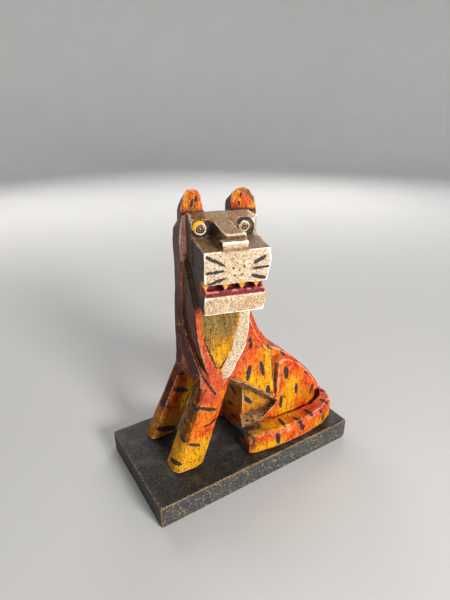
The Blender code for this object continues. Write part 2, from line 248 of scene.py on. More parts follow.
def to_line(start, end):
    """Distance from each point to a line, measured along the surface, and the place along it."""
    start, end = np.array(start, dtype=float), np.array(end, dtype=float)
    along = end - start
    t = np.clip(((points - start) @ along) / max(along @ along, 1e-9), 0.0, 1.0)
    away = points - (start + t[:, None] * along)
    depth = (away * facing).sum(axis=1)
    beside = np.sqrt(np.maximum((away ** 2).sum(axis=1) - depth ** 2, 0.0))
    return np.where(np.abs(depth) < 3.0, beside, 99.0), t


def glow(start, end, radius):
    """A soft patch of paint round a line."""
    return np.exp(-(to_line(start, end)[0] / radius) ** 2)


SEED = 7
CLOUD_ROUNDS = 60
random = np.random.default_rng(SEED)
cloud = spread(random.normal(size=(len(points), 2)), CLOUD_ROUNDS)
cloud = cloud / cloud.std(axis=0)
mottle, drift = cloud.T
print("two clouds made, from %.1f to %.1f" % (cloud.min(), cloud.max()))

# %% The pots of paint
RED = colour(222, 50, 14)
ROSE = colour(216, 80, 56)
ORANGE = colour(232, 106, 12)
YELLOW = colour(240, 170, 6)
OCHRE = colour(190, 130, 16)
DEEP_RED = colour(128, 26, 14)
PLUM = colour(80, 42, 40)
UMBER = colour(70, 40, 26)
CREAM = colour(216, 202, 178)
STONE = colour(146, 118, 88)
SMOKE = colour(56, 47, 39)
BLUE_BLACK = colour(34, 40, 48)
CRIMSON = colour(236, 46, 80)
MAGENTA = colour(120, 8, 52)
TONGUE_HIGHLIGHT = colour(214, 84, 128)
BARE_WOOD = colour(166, 124, 80)

paint = np.tile(RED, (len(points), 1))
speckle = np.full(len(points), 0.2)


def lay(new_colour, mask, speckled=None):
    """Lays a colour over the paint so far."""
    global paint
    mask = np.clip(mask, 0.0, 1.0)
    paint = paint + (new_colour - paint) * mask[:, None]
    if speckled is not None:
        speckle[:] = speckle + (speckled - speckle) * mask


def tell(part):
    print("%s painted, mean paint %s" % (part, np.round(paint.mean(axis=0), 3)))


tell("ground coat")

# %% [markdown]
# The coat
#
# The coat is orange-red, brushed into yellow on belly, haunch and feet while both were wet. It could
# be one picture wrapped round the figure, but soft patches along lines follow the carved forms, and
# need no unwrapping. The far side gets the same patches.

# %% Flanks and haunches
near_side = rise(x, 6.0, 9.0) * rise(facing[:, 0], 0.1, 0.5)
lay(ORANGE, 0.22 + 0.32 * mottle)
lay(ROSE, near_side * between(z, 37.0, 54.0, 4.0) * rise(y, 4.0, -4.0) * 0.8)
for side in (1.0, -1.0):
    lay(YELLOW, glow((side * 13.2, 10.5, 44.0), (side * 13.2, 12.6, 26.0), 3.6) * 1.1)
    lay(YELLOW, glow((side * 13.2, 0.0, 35.5), (side * 13.2, 11.0, 25.5), 4.0))
    lay(YELLOW, glow((side * 13.8, 24.5, 23.0), (side * 13.8, 22.0, 11.0), 4.8) * 1.1)
    lay(OCHRE, glow((side * 13.8, 31.0, 15.5), (side * 13.8, 35.0, 13.0), 3.4) * 0.7)
for side in (1.0, -1.0):
    lay(RED, glow((side * 13.4, 22.1, 37.1), (side * 13.4, 36.0, 26.0), 3.2) * 0.85)
    lay(RED, glow((side * 13.4, 36.0, 26.0), (side * 13.6, 40.4, 15.0), 3.0) * 0.8)
    lay(ROSE, glow((side * 13.8, 17.6, 34.0), (side * 13.8, 18.0, 22.0), 1.2) * 0.6)
# Painted shade: a darker red in the groove between flank and thigh
groove = between(y, 13.2, 17.0, 0.5) * between(z, 18.0, 41.0, 1.0) * rise(abs(x), 13.0, 12.5)
lay(colour(160, 44, 14), groove * 0.9)
lay(colour(206, 40, 10), near_side * rise(z, 46.0, 50.0) * rise(y, 12.0, 8.0) * 0.6)
tell("flanks")

# %% Chest, and the block in the wedge cut
# The chest and the far shoulder turn from the light and get painted shade: dark red, streaked with
# umber and orange
chest = rise(z, 33.0, 37.0) * rise(z, 66.0, 58.0) * rise(forward, 13.0, 10.0)
chest *= np.maximum(rise(facing[:, 1], -0.3, -0.7), rise(facing[:, 0], -0.3, -0.7))
lay(DEEP_RED, chest * 0.9, 0.25)
lay(UMBER, chest * rise(mottle, 0.0, 1.2) * 0.5)
lay(ORANGE, chest * rise(drift, 0.5, 1.2) * 0.6)

# The block inside the wedge cut is olive yellow. Being shaded inside the cut, it gets umber and, near
# the ground, deep red as painted shade
inner = between(y, -1.0, 15.0, 1.0) * rise(abs(x), 10.6, 9.6) * rise(z, 36.0, 34.0)
lay(OCHRE, inner * rise(z, 4.0, 12.0) * 0.75, 0.7)
lay(colour(196, 148, 26), inner * glow((9.0, 3.0, 22.0), (9.0, 8.0, 17.0), 4.0) * 0.7)
lay(UMBER, inner * rise(mottle, 0.0, 1.4) * 0.55)
lay(DEEP_RED, inner * rise(z, 14.0, 4.0) * 0.85)
tell("chest and block")

# %% Forelegs: orange shafts that turn yellow at the feet
legs = rise(y, -5.0, -8.0) * rise(z, 42.0, 36.0)
lay(ORANGE, legs * (0.4 + 0.2 * mottle))
lay(YELLOW, legs * glow((6.6, -24.5, 28.0), (8.0, -32.5, 13.0), 3.2) * rise(mottle, -1.4, -0.2) * 0.8)
lay(YELLOW, legs * glow((12.0, -24.0, 30.0), (13.0, -33.0, 14.0), 1.3) * rise(drift, -0.6, 0.5) * 0.7)
lay(YELLOW, legs * rise(z + 1.4 * drift, 16.0, 10.0), 0.5)
lay(ORANGE, legs * rise(z, 14.0, 10.0) * rise(mottle, 0.6, 1.5) * 0.5)
# Painted shade: deep red on the near leg's inner faces and over the far leg, umber on faces turned to the
# front, and dull olive low on the far leg
lay(DEEP_RED, legs * rise(facing[:, 0], -0.2, -0.7) * rise(x, 0.0, 3.0) * rise(z, 10.0, 20.0) * 0.7)
lay(OCHRE, legs * rise(x, -13.0, -15.0) * 0.35)
lay(DEEP_RED, legs * between(x, -12.5, -7.0) * rise(z, 6.0, 16.0) * 0.8)
# A painted highlight: a bright yellow strip down the lit back edge of the far leg
lay(colour(255, 196, 20), glow((-7.2, -14.8, 32.0), (-8.9, -22.6, 8.0), 2.2) * legs * 1.3, 0.1)
lay(UMBER, legs * rise(facing[:, 1], -0.4, -0.8) * rise(mottle, 0.4, 1.4) * rise(z, 8.0, 16.0) * 0.6)
lay(colour(150, 92, 6), legs * rise(x, -5.0, -7.0) * rise(z, 16.0, 10.0) * 0.8)
tell("forelegs")

# %% Tail: orange-red, yellow near its tip, with the tip itself nearly black
lay(YELLOW, glow((18.0, 1.0, 10.5), (20.0, 15.0, 9.2), 2.8))
lay(YELLOW, glow((22.6, 1.0, 3.0), (24.0, 12.0, 2.2), 2.4))
lay(YELLOW, glow((23.4, 34.0, 2.5), (20.0, 43.0, 3.0), 2.2) * 0.7)
tip = rise(z, 12.5, 11.5) * rise(x, 8.4, 9.4) * rise(y, 12.0, 11.0) * rise(y, -9.0, -7.0)
lay(colour(84, 66, 26), tip * rise(y + 2.0 * drift, 9.0, 3.0) * rise(face_up, 0.3, 0.8) * 0.75, 1.0)
wash = tip * rise(y + 3.0 * drift, 5.0, 0.0) * rise(face_up + 0.4 * drift, 0.1, 0.6)
lay(colour(34, 38, 44), wash * 0.9, 1.0)
lay(colour(52, 46, 28), tip * rise(facing[:, 1], -0.5, -0.8) * (0.75 + 0.2 * drift), 1.0)
lay(YELLOW, glow((18.0, -1.6, 10.2), (21.0, 3.0, 10.2), 0.7) * rise(mottle, -1.0, 0.2) * 0.8)
lay(YELLOW, glow((21.6, -2.6, 1.2), (22.4, 1.5, 2.4), 1.0) * rise(mottle, -1.2, 0.2))
# Painted highlights: pale pink streaks along the bevel of the tail, where its sheen catches the light
for start, end, width, strength in (
        ((23.2, 5.0, 7.6), (24.0, 16.8, 7.2), 0.7, 0.8), ((23.4, 27.0, 7.8), (22.6, 37.0, 8.0), 0.6, 0.7)):
    lay(colour(248, 150, 128), glow(start, end, width) * rise(drift, -0.8, 0.6) * strength)
tell("tail")

# %% [markdown]
# The collar
#
# Two bands meet in a V under the chin, rose on the left in the photograph and cream on the right, with
# a sunk panel between them that fades from olive to yellow. Their edges run at odd angles, so each
# edge is a bent line that gives its place across the head for every height.

# %% The collar, the throat panel and the cream strip
throat = rise(face_forward, 0.5, 0.75) * rise(forward, 12.0, 13.5) * between(z, 30.0, 75.5, 1.0)
throat *= rise(y, -24.0, -22.5) + rise(z, 32.0, 34.0) > 0.5
panel_left = np.interp(z, [44.7, 47.3, 54.3, 60.8, 66.5], [-3.3, -4.8, -7.5, -9.0, -9.6])
cream_left = np.interp(z, [43.9, 48.4, 53.5, 60.1, 64.4, 68.2], [-1.9, -0.2, 2.3, 3.5, 4.8, 5.5])
cream_right = np.interp(z, [39.7, 42.1, 49.2, 54.8, 61.4, 68.9], [0.0, 2.3, 5.7, 8.4, 9.5, 9.8])

collar = rise(forward, 0.0, 2.0) * between(z, 31.0, 74.0, 1.5) * rise(across, 3.0, -3.0)
# Painted shade: deep red on the collar's left faces, which turn from the light
lay(DEEP_RED, collar * rise(face_across, -0.15, -0.6) * 0.9, 0.3)
fold = [(9.4, -22.0, 45.0), (12.2, -21.0, 41.6), (14.2, -19.0, 37.6)]
for start, end in zip(fold, fold[1:]):
    lay(ORANGE, glow(start, end, 0.8) * 0.9)
lay(ROSE, throat * rise(across, panel_left + 0.2, panel_left - 0.3) * (0.9 + 0.2 * mottle), 0.5)
bib = throat * between(across - panel_left, 0.0, 99.0, 0.3) * rise(across, cream_left, cream_left - 0.5)
bib *= rise(z, 43.6, 44.6)
lay(YELLOW, bib, 0.6)
# The olive over the upper panel is partly its own paint and partly painted shadow of the chin
lay(OCHRE, bib * rise(z + 2.0 * drift, 51.0, 58.0), 0.9)
lay(colour(132, 118, 66), bib * rise(z + 2.0 * drift, 56.0, 64.0) * 0.9, 1.0)
cream = throat * rise(across, cream_left - 0.2, cream_left + 0.3)
cream *= rise(across, cream_right + 0.4, cream_right - 0.3) * rise(z, 39.5, 42.0)
lay(YELLOW, throat * np.exp(-((across - cream_left) / 0.8) ** 2) * rise(z, 44.0, 46.0) * 0.9)
lay(CREAM, cream, 1.0)
tell("collar")

# %% [markdown]
# The head
#
# The front of the muzzle is the palest paint on the figure, and is speckled all over. The muzzle is
# cream all round, and its other faces get painted shade: stone brown on the tops, the underside and
# the right side, nearly black on the left side and the cheek. The thick ruff behind it is plum that
# turns red further down, darkened further as painted shade. Which way a point faces is enough to
# tell these faces apart.

# %% Ruff and neck, seen from the side
# These faces turn from the light and get painted shade: umber on the far flank, deep red behind the head,
# and dark orange-brown and umber on the front faces at the left. The ochre in the far flank is the paint's
# own mottle, and the plum is the ruff's own paint, laid darker as painted shade
sides = rise(forward, 0.4, -0.6) * rise(z, 54.0, 60.0)
far_flank = rise(x, -9.0, -11.5) * rise(z, 36.0, 44.0) * rise(z, 76.0, 70.0)
lay(UMBER, far_flank * 0.75, 0.3)
lay(OCHRE, far_flank * rise(mottle, 0.2, 1.6) * 0.7)
lay(DEEP_RED, sides * rise(z, 84.0, 70.0) * 0.7)
front_left = rise(facing[:, 1], -0.6, -0.9) * rise(x, -2.0, -5.0) * between(z, 36.0, 66.0, 2.0)
lay(colour(150, 72, 20), front_left * rise(mottle, -0.2, 0.6) * 0.8, 0.6)
lay(UMBER, front_left * rise(drift, 0.2, 1.0) * 0.7)
lay(PLUM, sides * rise(z + 3.0 * drift, 66.0, 84.0))
tell("ruff")

# %% Muzzle, brow and cheek
snout = rise(forward, 0.8, 1.6) * rise(z, 73.4, 74.0)
# Painted shade on the muzzle's other faces: smoke brown on the left side, stone brown on the right side, the
# tops and the underside, and a paler stone on the highest tops
lay(SMOKE, snout * rise(face_across, -0.3, -0.7), 0.4)
lay(STONE, snout * rise(face_across, 0.3, 0.7), 0.8)
lay(STONE, snout * rise(face_up, 0.3, 0.6), 0.55)
lay(colour(172, 144, 114), snout * rise(face_up, 0.3, 0.6) * rise(z, 98.6, 100.4))
lay(STONE, snout * rise(face_up, -0.3, -0.6), 0.5)
lay(CREAM, snout * rise(face_forward, 0.45, 0.7) * rise(forward, 20.5, 22.0), 1.0)
chin = snout * rise(face_forward, 0.45, 0.7) * rise(z, 81.0, 79.5)
lay(colour(186, 152, 108), chin * (0.5 + 0.2 * drift))
lay(STONE, snout * rise(face_forward, 0.45, 0.7) * rise(forward, 21.0, 20.0) * rise(z, 97.5, 98.5), 0.6)
brow_end = snout * between(forward, 2.0, 12.4) * rise(across, 11.4, 12.3)
lay(CREAM, brow_end * between(z, 97.5, 107.4) * rise(mottle, -1.9, -0.9), 0.9)
over_eye = snout * between(forward, 5.0, 11.6) * rise(z, 103.9, 104.7)
over_eye *= rise(across + 0.8 * drift, -4.4, -5.4)
lay(colour(104, 44, 26), over_eye * 0.9, 0.9)
lay(CREAM, over_eye * rise(mottle, 0.7, 1.2) * 0.7)
# Painted shade: a dark patch in the groove between brow and ruff, above the left eye
lay(colour(58, 40, 30), glow(on_head(-11.2, 9.6, 106.0), on_head(-9.6, 9.6, 104.6), 0.9) * 0.9)
lay(YELLOW, glow(on_head(12.6, 25.0, 80.0), on_head(12.6, 25.0, 82.0), 0.9) * snout)
# Painted highlights: pale lines along the front edges of the nose pad and of the step above it
lay(CREAM, glow(on_head(-3.4, 24.9, 100.9), on_head(5.4, 24.9, 100.9), 0.55), 0.2)
lay(CREAM, glow(on_head(-0.8, 20.3, 102.2), on_head(6.4, 20.3, 102.2), 0.5), 0.2)

# Brown lines along the steps of the nose pad and down its sides
for start, end, width in (
        ((-4.0, 20.1, 100.9), (6.6, 20.1, 101.0), 0.5), ((-3.8, 25.0, 98.2), (5.8, 25.0, 98.2), 0.45),
        ((-4.1, 20.4, 98.4), (-1.2, 20.4, 102.0), 0.5), ((6.9, 20.4, 98.4), (6.9, 20.4, 102.0), 0.5),
        ((-4.0, 24.9, 98.4), (-4.0, 24.9, 100.6), 0.4), ((6.0, 24.9, 98.4), (6.0, 24.9, 100.6), 0.4)):
    lay(colour(104, 66, 34), glow(on_head(*start), on_head(*end), width) * 0.85)

cheek = between(forward, 0.5, 17.0) * rise(across, -11.2, -11.8) * between(z, 60.0, 93.0)
# Painted shade: the upward faces of the cheek under the muzzle's left side are painted nearly black
lay(colour(44, 28, 22), cheek * rise(face_up, 0.15, 0.4) * 0.9)
pad = snout * rise(forward, 24.2, 24.6) * between(across, -4.4, 6.4)
lay(colour(150, 112, 70), pad * between(z, 97.7, 98.9, 0.3) * 0.75, 1.0)
tell("muzzle and brow")

# %% Ruff and ears, seen from the front
# The narrow front of the ruff beside the cheek: pink outside, whitish inside, red further down. The pink
# is laid extra bright as painted light, and the deep red lower down is painted shade
ruff = between(forward, -0.9, 0.9, 0.3) * rise(face_forward, 0.3, 0.7) * rise(across, -10.8, -11.4)
lay(colour(255, 186, 162), ruff * rise(z, 80.0, 92.0) * 0.95, 0.3)
lay(CREAM, ruff * rise(across, -12.1, -11.6) * rise(z, 88.0, 96.0) * 0.8)
lay(DEEP_RED, ruff * rise(z, 92.0, 80.0) * 0.8)

# Ears: orange-red fronts with yellow streaks. The tiger's left one is rubbed brown at its tip
ear_front = rise(z, 105.4, 106.2) * rise(face_forward, 0.3, 0.6)
lay(RED, ear_front, 0.7)
lay(ORANGE, ear_front * (0.4 + 0.4 * mottle))
for start, end, width in (
        ((-9.6, 106.5), (-10.4, 112.6), 0.7), ((-7.2, 106.5), (-7.6, 110.6), 0.6),
        ((-5.6, 106.5), (-5.4, 109.0), 0.5), ((-11.6, 107.0), (-10.8, 111.5), 0.3),
        ((10.8, 106.5), (10.6, 112.4), 0.45), ((8.2, 109.0), (10.2, 113.2), 0.5),
        ((16.6, 106.4), (16.4, 108.2), 0.8), ((13.4, 106.0), (16.8, 106.6), 0.5),
        ((12.6, 113.2), (14.4, 110.0), 0.35)):
    lay(YELLOW, glow(on_head(start[0], -1.2, start[1]), on_head(end[0], -1.2, end[1]), width) * ear_front)
lay(colour(120, 82, 62), ear_front * glow(on_head(12.6, -1.6, 113.4), on_head(16.4, -1.8, 109.6), 1.7))
lay(ROSE, ear_front * glow(on_head(-12.2, -1.8, 106.6), on_head(-12.0, -1.8, 109.0), 0.8))
tell("ears")

# %% The shaded front, and the mouth
# Everything that faces the front of the board gets painted shade: darker and redder, with thin orange
# streaks left in it
shade = rise(facing[:, 1], -0.55, -0.9) * rise(z, 8.0, 20.0) * rise(y, -2.0, -5.0)
lay(colour(54, 10, 2), shade * rise(z, 84.0, 74.0) * (0.68 + 0.12 * drift), 0.15)
lay(ORANGE, shade * between(z, 26.0, 60.0, 4.0) * rise(np.abs(drift), 0.16, 0.02) * 0.55)

# The mouth: a crimson slot, a magenta tongue and four yellow teeth
mouth = between(z, 81.3, 85.8, 0.25) * rise(forward, 18.4, 19.2) * rise(forward, 24.95, 24.7)
lay(CRIMSON, mouth, 0.1)
lay(MAGENTA, mouth * rise(z, 83.6, 83.2) * rise(forward, 20.6, 21.4), 0.1)
# A painted highlight: a pale pink line along the top edge of the tongue
lay(TONGUE_HIGHLIGHT, mouth * np.exp(-((z - 83.1) / 0.35) ** 2) * rise(forward, 22.6, 23.4) * 0.8)
for centre in (-9.3, -2.5, 3.5, 8.9):
    tooth = rise(abs(across - centre), 1.5, 1.1) * rise(z, 83.3, 83.9) * rise(forward, 20.6, 21.2)
    lay(colour(214, 166, 12), tooth * rise(z, 87.2, 86.8) * between(forward, 19.0, 24.9), 0.3)
    gap = rise(abs(across - centre - 2.1), 1.1, 0.7) * rise(z, 83.8, 84.4)
    lay(BLUE_BLACK, gap * mouth * rise(forward, 22.4, 20.6) * 0.9, 0.0)
tell("mouth")

# %% [markdown]
# Brush strokes
#
# The stripes are single strokes of a loaded brush: pointed where it lands and lifts, fat between.
# They could be modelled as thin decals, but paint has no thickness to speak of. So each point of the
# net stores its distance to the edge of the nearest stroke, and the material turns that into a crisp
# edge with a bit of dry-brush raggedness.

# %% Helpers for strokes
FULLNESS = 1.22
ink = np.full(len(points), 9.0)


def stroke(start, end, half_width, pointed=True):
    """A brush stroke. Inside it the distance is negative, in steps."""
    global ink
    beside, t = to_line(start, end)
    shape = np.maximum(4.0 * t * (1.0 - t), 0.0) ** 0.4 if pointed else np.ones(len(t))
    ink = np.minimum(ink, beside - FULLNESS * half_width * (0.1 + 0.9 * shape))


def head_stroke(start, end, forward_place, half_width, pointed=True):
    stroke(on_head(start[0], forward_place, start[1]), on_head(end[0], forward_place, end[1]),
           half_width, pointed)


def head_trail(corners, forward_place, half_width):
    """A curved line through several corners, given as (across, height)."""
    for start, end in zip(corners, corners[1:]):
        head_stroke(start, end, forward_place, half_width, False)


# %% Flank, thigh and the block in the wedge cut
# Each is a place across, then (y, z) at the start and the end, and half a width. The far side doesn't
# show, and gets the same strokes a little shifted.
side_strokes = [
    (12.4, (2.0, 54.8), (1.6, 48.4), 0.85), (12.2, (10.6, 47.6), (13.7, 44.6), 0.8),
    (12.2, (18.0, 42.1), (21.3, 38.9), 0.7), (13.2, (0.9, 40.9), (-0.3, 33.6), 1.05),
    (13.2, (6.4, 40.9), (8.6, 32.8), 0.85), (13.2, (10.8, 26.9), (11.6, 20.6), 1.05),
    (13.8, (20.3, 34.0), (21.3, 27.1), 1.05), (13.8, (27.3, 22.4), (27.8, 16.1), 0.75),
    (13.8, (38.0, 18.2), (37.0, 12.1), 0.7), (13.8, (31.7, 27.3), (35.3, 24.5), 0.5),
    (13.8, (18.7, 18.7), (18.5, 11.5), 0.8), (9.0, (0.6, 22.1), (5.1, 16.8), 0.9),
]
for place_x, start, end, width in side_strokes:
    stroke((place_x, *start), (place_x, *end), width)
    stroke((-place_x, start[0] + 1.0, start[1] - 1.0), (-place_x, end[0] - 0.6, end[1] - 0.6), width)
for start, end, width in (
        ((-1.6, 0.0, 22.5), (4.1, 0.0, 20.5), 0.9), ((-4.0, 0.0, 11.7), (1.5, 0.0, 12.8), 0.7),
        ((-0.8, 0.0, 6.2), (3.9, 0.0, 7.4), 0.8), ((-7.6, 0.0, 17.0), (-4.4, 0.0, 20.0), 0.8)):
    stroke(start, end, width)

stroke((12.2, 15.6, 36.5), (12.2, 15.9, 17.0), 0.42)
print("points under a stroke:", int((ink < 0.0).sum()))

# %% Tail and forelegs
# The tip of the tail is dipped in the dark paint, which is thin and streaky there
dipped = (y + 1.5 * drift + 0.5 * np.sin(x * 2.3) + 0.6) * 0.5
dipped = np.maximum(dipped, (np.where(y < -3.4, 1.0, 2.6) + 0.8 * mottle - z) * 0.6)
dipped = np.maximum(dipped, (mottle - 0.35) * 1.2)
ink = np.minimum(ink, np.where(tip > 0.5, dipped, 9.0))

for start, end, width in (
        ((16.8, 15.0, 9.4), (23.1, 14.1, 9.0), 0.9), ((20.2, 21.4, 9.2), (24.2, 23.2, 7.4), 1.0),
        ((24.0, 23.0, 7.0), (24.0, 24.4, 3.0), 0.9), ((18.0, 29.2, 9.4), (23.4, 30.5, 8.4), 0.95),
        ((17.0, 40.6, 9.9), (20.8, 42.4, 8.6), 0.8), ((19.4, 37.8, 9.7), (20.0, 38.2, 9.7), 0.55),
        ((21.4, 35.1, 9.2), (23.0, 37.1, 7.0), 0.7), ((22.6, 38.4, 5.6), (22.8, 37.8, 1.6), 0.7),
        ((23.4, 9.4, 7.9), (23.6, 10.3, 1.5), 1.0), ((10.0, 42.6, 10.0), (13.6, 47.6, 9.2), 0.8),
        ((1.0, 43.6, 9.4), (3.0, 48.4, 8.0), 0.8), ((9.0, 48.9, 8.0), (9.6, 48.9, 2.0), 0.8)):
    stroke(start, end, width)

# Forelegs, as broken bands round the shafts
for start, end, width in (
        ((12.6, -24.6, 29.2), (14.4, -16.4, 25.6), 0.75), ((8.4, -25.2, 29.4), (12.4, -23.8, 27.0), 0.8),
        ((14.5, -23.4, 19.6), (14.4, -20.2, 19.6), 0.35), ((14.5, -20.6, 19.3), (13.9, -16.6, 21.2), 0.6),
        ((8.6, -31.9, 15.2), (12.4, -30.6, 13.6), 0.75), ((12.8, -29.6, 13.2), (14.9, -25.4, 11.0), 0.6),
        ((7.0, -36.4, 3.4), (14.2, -34.0, 4.4), 0.9), ((6.4, -28.3, 21.3), (9.8, -29.0, 20.4), 0.8),
        ((-9.6, -23.0, 33.4), (-6.6, -20.6, 32.4), 0.7), ((-13.6, -21.0, 33.6), (-10.0, -22.6, 34.0), 0.7),
        ((-8.4, -25.4, 25.8), (-7.9, -18.8, 22.6), 1.1), ((-14.2, -30.2, 18.0), (-8.9, -27.8, 16.6), 0.8),
        ((-11.2, -34.4, 6.0), (-10.6, -24.6, 2.6), 1.3), ((-18.4, -33.0, 12.0), (-17.4, -24.6, 10.0), 0.8),
        ((-16.6, -27.6, 22.4), (-15.8, -19.6, 20.4), 0.8), ((-15.2, -22.4, 31.0), (-14.4, -15.0, 29.0), 0.8),
        ((5.0, -26.0, 12.0), (9.8, -23.2, 13.4), 0.7), ((5.2, -18.0, 27.0), (10.0, -14.4, 28.6), 0.7)):
    stroke(start, end, width)
print("points under a stroke:", int((ink < 0.0).sum()))

# %% Back and rear of the ruff, in pairs that follow the stripes of the sides
for y_place, z_place, width in (
        (44.8, 13.0, 0.7), (38.2, 23.4, 0.8), (29.5, 32.6, 0.9), (20.0, 41.2, 0.9)):
    for side in (-1.0, 1.0):
        stroke((side * 1.6, y_place, z_place), (side * 7.6, y_place - 2.4, z_place + 2.2), width)
for height in (66.0, 75.0, 84.0, 92.0):
    for side in (-1.0, 1.0):
        start = on_head(side * 3.0, -12.0, height)
        stroke(start, on_head(side * 10.4, -12.0, height + 3.0), 0.8)
for height in (61.0, 70.0, 79.0, 88.0):
    stroke(on_head(15.6, -9.6, height), on_head(15.8, -2.4, height + 3.4), 0.7)
print("points under a stroke:", int((ink < 0.0).sum()))

# %% Whiskers, freckles and lines on the face
for start, end, width in (
        ((-10.5, 97.1), (-2.6, 92.5), 0.5), ((-10.5, 90.4), (-2.6, 90.9), 0.46),
        ((-10.3, 85.9), (-2.4, 88.2), 0.48), ((7.2, 92.6), (12.1, 95.0), 0.6),
        ((6.8, 90.8), (13.9, 91.1), 0.42), ((6.3, 88.5), (12.9, 86.5), 0.55)):
    head_stroke(start, end, 25.0, width)
for place in ((0.1, 91.6), (1.5, 93.3), (4.1, 91.7), (2.1, 90.6), (0.3, 88.8), (2.8, 88.9)):
    head_stroke(place, (place[0] + 0.4, place[1]), 25.0, 0.26, False)

# Round the eyes: a thick arc over one, and a thin one under the other
head_trail([(6.6, 103.6), (7.6, 105.0), (9.8, 105.3), (11.7, 104.4), (12.5, 102.4), (12.2, 100.6),
            (11.0, 99.2)], 10.2, 0.56)
head_trail([(-10.9, 101.4), (-10.2, 99.9), (-8.6, 99.2), (-6.8, 99.4), (-5.6, 100.4)], 10.0, 0.42)
# A painted shadow: a dark stroke down the side of the nose ridge, beside the left eye
head_stroke((-5.3, 105.4), (-4.7, 99.6), 10.4, 0.8)

# Lines beside the throat panel, and the dark dashes in the ears
head_stroke((-9.2, 60.8), (-3.5, 44.8), 16.0, 0.36)
head_stroke((0.4, 50.7), (-3.1, 44.6), 16.0, 0.3)
seam = [(5.0, -21.9, 48.4), (8.3, -21.9, 45.0), (11.4, -21.2, 42.1), (13.4, -19.6, 38.3),
        (14.1, -17.0, 33.3)]
for start, end in zip(seam, seam[1:]):
    stroke(start, end, 0.4, False)
for start, end, width in (
        ((-8.6, 107.4), (-7.9, 110.8), 0.3), ((-6.8, 109.0), (-6.6, 111.8), 0.55),
        ((-7.6, 106.6), (-7.2, 108.6), 0.3), ((10.2, 106.8), (10.4, 108.6), 0.45),
        ((10.6, 109.4), (11.0, 112.0), 0.25)):
    head_stroke(start, end, -1.4, width)
for place in ((-12.0, 65.0), (-12.1, 60.4), (-10.9, 56.0)):
    head_stroke(place, (place[0] + 0.3, place[1]), 15.6, 0.3, False)
print("points under a stroke:", int((ink < 0.0).sum()))

# %% [markdown]
# Bare wood, rubbed and highlit edges, and the eyes
#
# Two chopped faces of the wedge cut were never painted well, and the paint is rubbed off the proud
# edges, which are also painted lighter as highlights. The eyes are rings painted on a round boss. A
# ring is sharper than the net, so each point stores only where it lies from the eye's centre, and the
# material draws the rings.

# %% Bare and splintered wood
belly_band = np.interp(y, [-8.6, -1.7, 6.6, 11.8, 15.4], [38.4, 33.4, 26.6, 22.4, 18.6])
bare = rise(z, belly_band + 0.5, belly_band - 0.3) * rise(z, belly_band - 6.5, belly_band - 4.0)
bare *= rise(face_up, 0.15, -0.25) * between(y, -10.0, 15.6, 0.5) * rise(abs(x), 8.6, 9.4)
foot_top = rise(face_up, 0.35, 0.7) * between(z, 9.6, 14.6, 0.4) * between(y, -3.8, 16.6, 0.6)
foot_top *= rise(abs(x), 8.8, 9.4) * rise(abs(x), 14.6, 14.0)
bare = np.maximum(bare, foot_top)

SPLINTER = 0.00012
splinters = spread(random.normal(size=(len(points), 1)), 3)[:, 0]
splinters = splinters / splinters.std()
lifted = facing * (bare * splinters * SPLINTER)[:, None]
moved = points * STEP + np.array([MIDDLE_X, 0.0, FEET]) + lifted
carving.data.vertices.foreach_set("co", moved.ravel())
carving.data.update()
print("bare points:", int((bare > 0.5).sum()))

# %% Wear with painted highlights, dirt with painted shade, and the places round the eyes
# Painted shade goes with the dirt in sunk corners
dirt_and_shade = rise(proud, -0.05, -0.55)
# Painted highlights go with the wear on proud edges, less on the cheek and the tail tip
rubbed_and_lit = rise(proud, 0.10, 0.42) * (1.0 - 0.85 * cheek) * (1.0 - 0.8 * tip)

# Left and right are those of someone who looks the tiger in the face
eye_left, eye_right = (-8.05, 102.4), (8.6, 102.1)
left_is_near = across < 0.5
eye_across = across - np.where(left_is_near, eye_left[0], eye_right[0])
eye_up = z - np.where(left_is_near, eye_left[1], eye_right[1])
FAR_FROM_EYE = 9.0
on_brow = (forward > 9.3) & (forward < 13.0) & (z > 98.6)
eye_off = np.where(on_brow, 0.0, FAR_FROM_EYE)


def store(item, name, values):
    """Keeps one number, or one colour, at each point of a net."""
    kind, field = ("FLOAT", "value") if values.ndim == 1 else ("FLOAT_COLOR", "color")
    if values.ndim == 2:
        values = np.concatenate([values, np.ones((len(values), 1))], axis=1)
    layer = item.data.attributes.new(name, kind, "POINT")
    layer.data.foreach_set(field, np.ascontiguousarray(values, dtype=np.float32).ravel())


store(carving, "paint", np.clip(paint, 0.0, 1.0))
for name, values in (("ink", ink), ("speckle", speckle), ("bare", bare), ("dirt_and_shade", dirt_and_shade),
                     ("rubbed_and_lit", rubbed_and_lit), ("eye_across", eye_across), ("eye_up", eye_up),
                     ("eye_off", eye_off), ("right_eye", (~left_is_near).astype(float))):
    store(carving, name, values)
print("rubbed points:", int((rubbed_and_lit > 0.5).sum()))

# %% [markdown]
# A small kit for materials
#
# Node materials are easier to read as sums than as a web of links. Each helper adds one node and
# gives back its output, and takes either a plain value or another node's output.


# %% Node helpers
def new_material(name):
    material = bpy.data.materials.new(name)
    material.use_nodes = True
    tree = material.node_tree
    shader = tree.nodes["Principled BSDF"]
    return material, tree, shader


def feed(tree, socket, value):
    if isinstance(value, bpy.types.NodeSocket):
        tree.links.new(value, socket)
    elif isinstance(value, (tuple, list, np.ndarray)):
        socket.default_value = (*[float(v) for v in value], 1.0)[:len(socket.default_value)]
    else:
        socket.default_value = value


def layer(tree, name, kind="Fac"):
    step = tree.nodes.new("ShaderNodeAttribute")
    step.attribute_name = name
    return step.outputs[kind]


def sums(tree, operation, first, second=0.0):
    step = tree.nodes.new("ShaderNodeMath")
    step.operation = operation
    feed(tree, step.inputs[0], first)
    feed(tree, step.inputs[1], second)
    return step.outputs[0]


def times(tree, first, second):
    return sums(tree, "MULTIPLY", first, second)


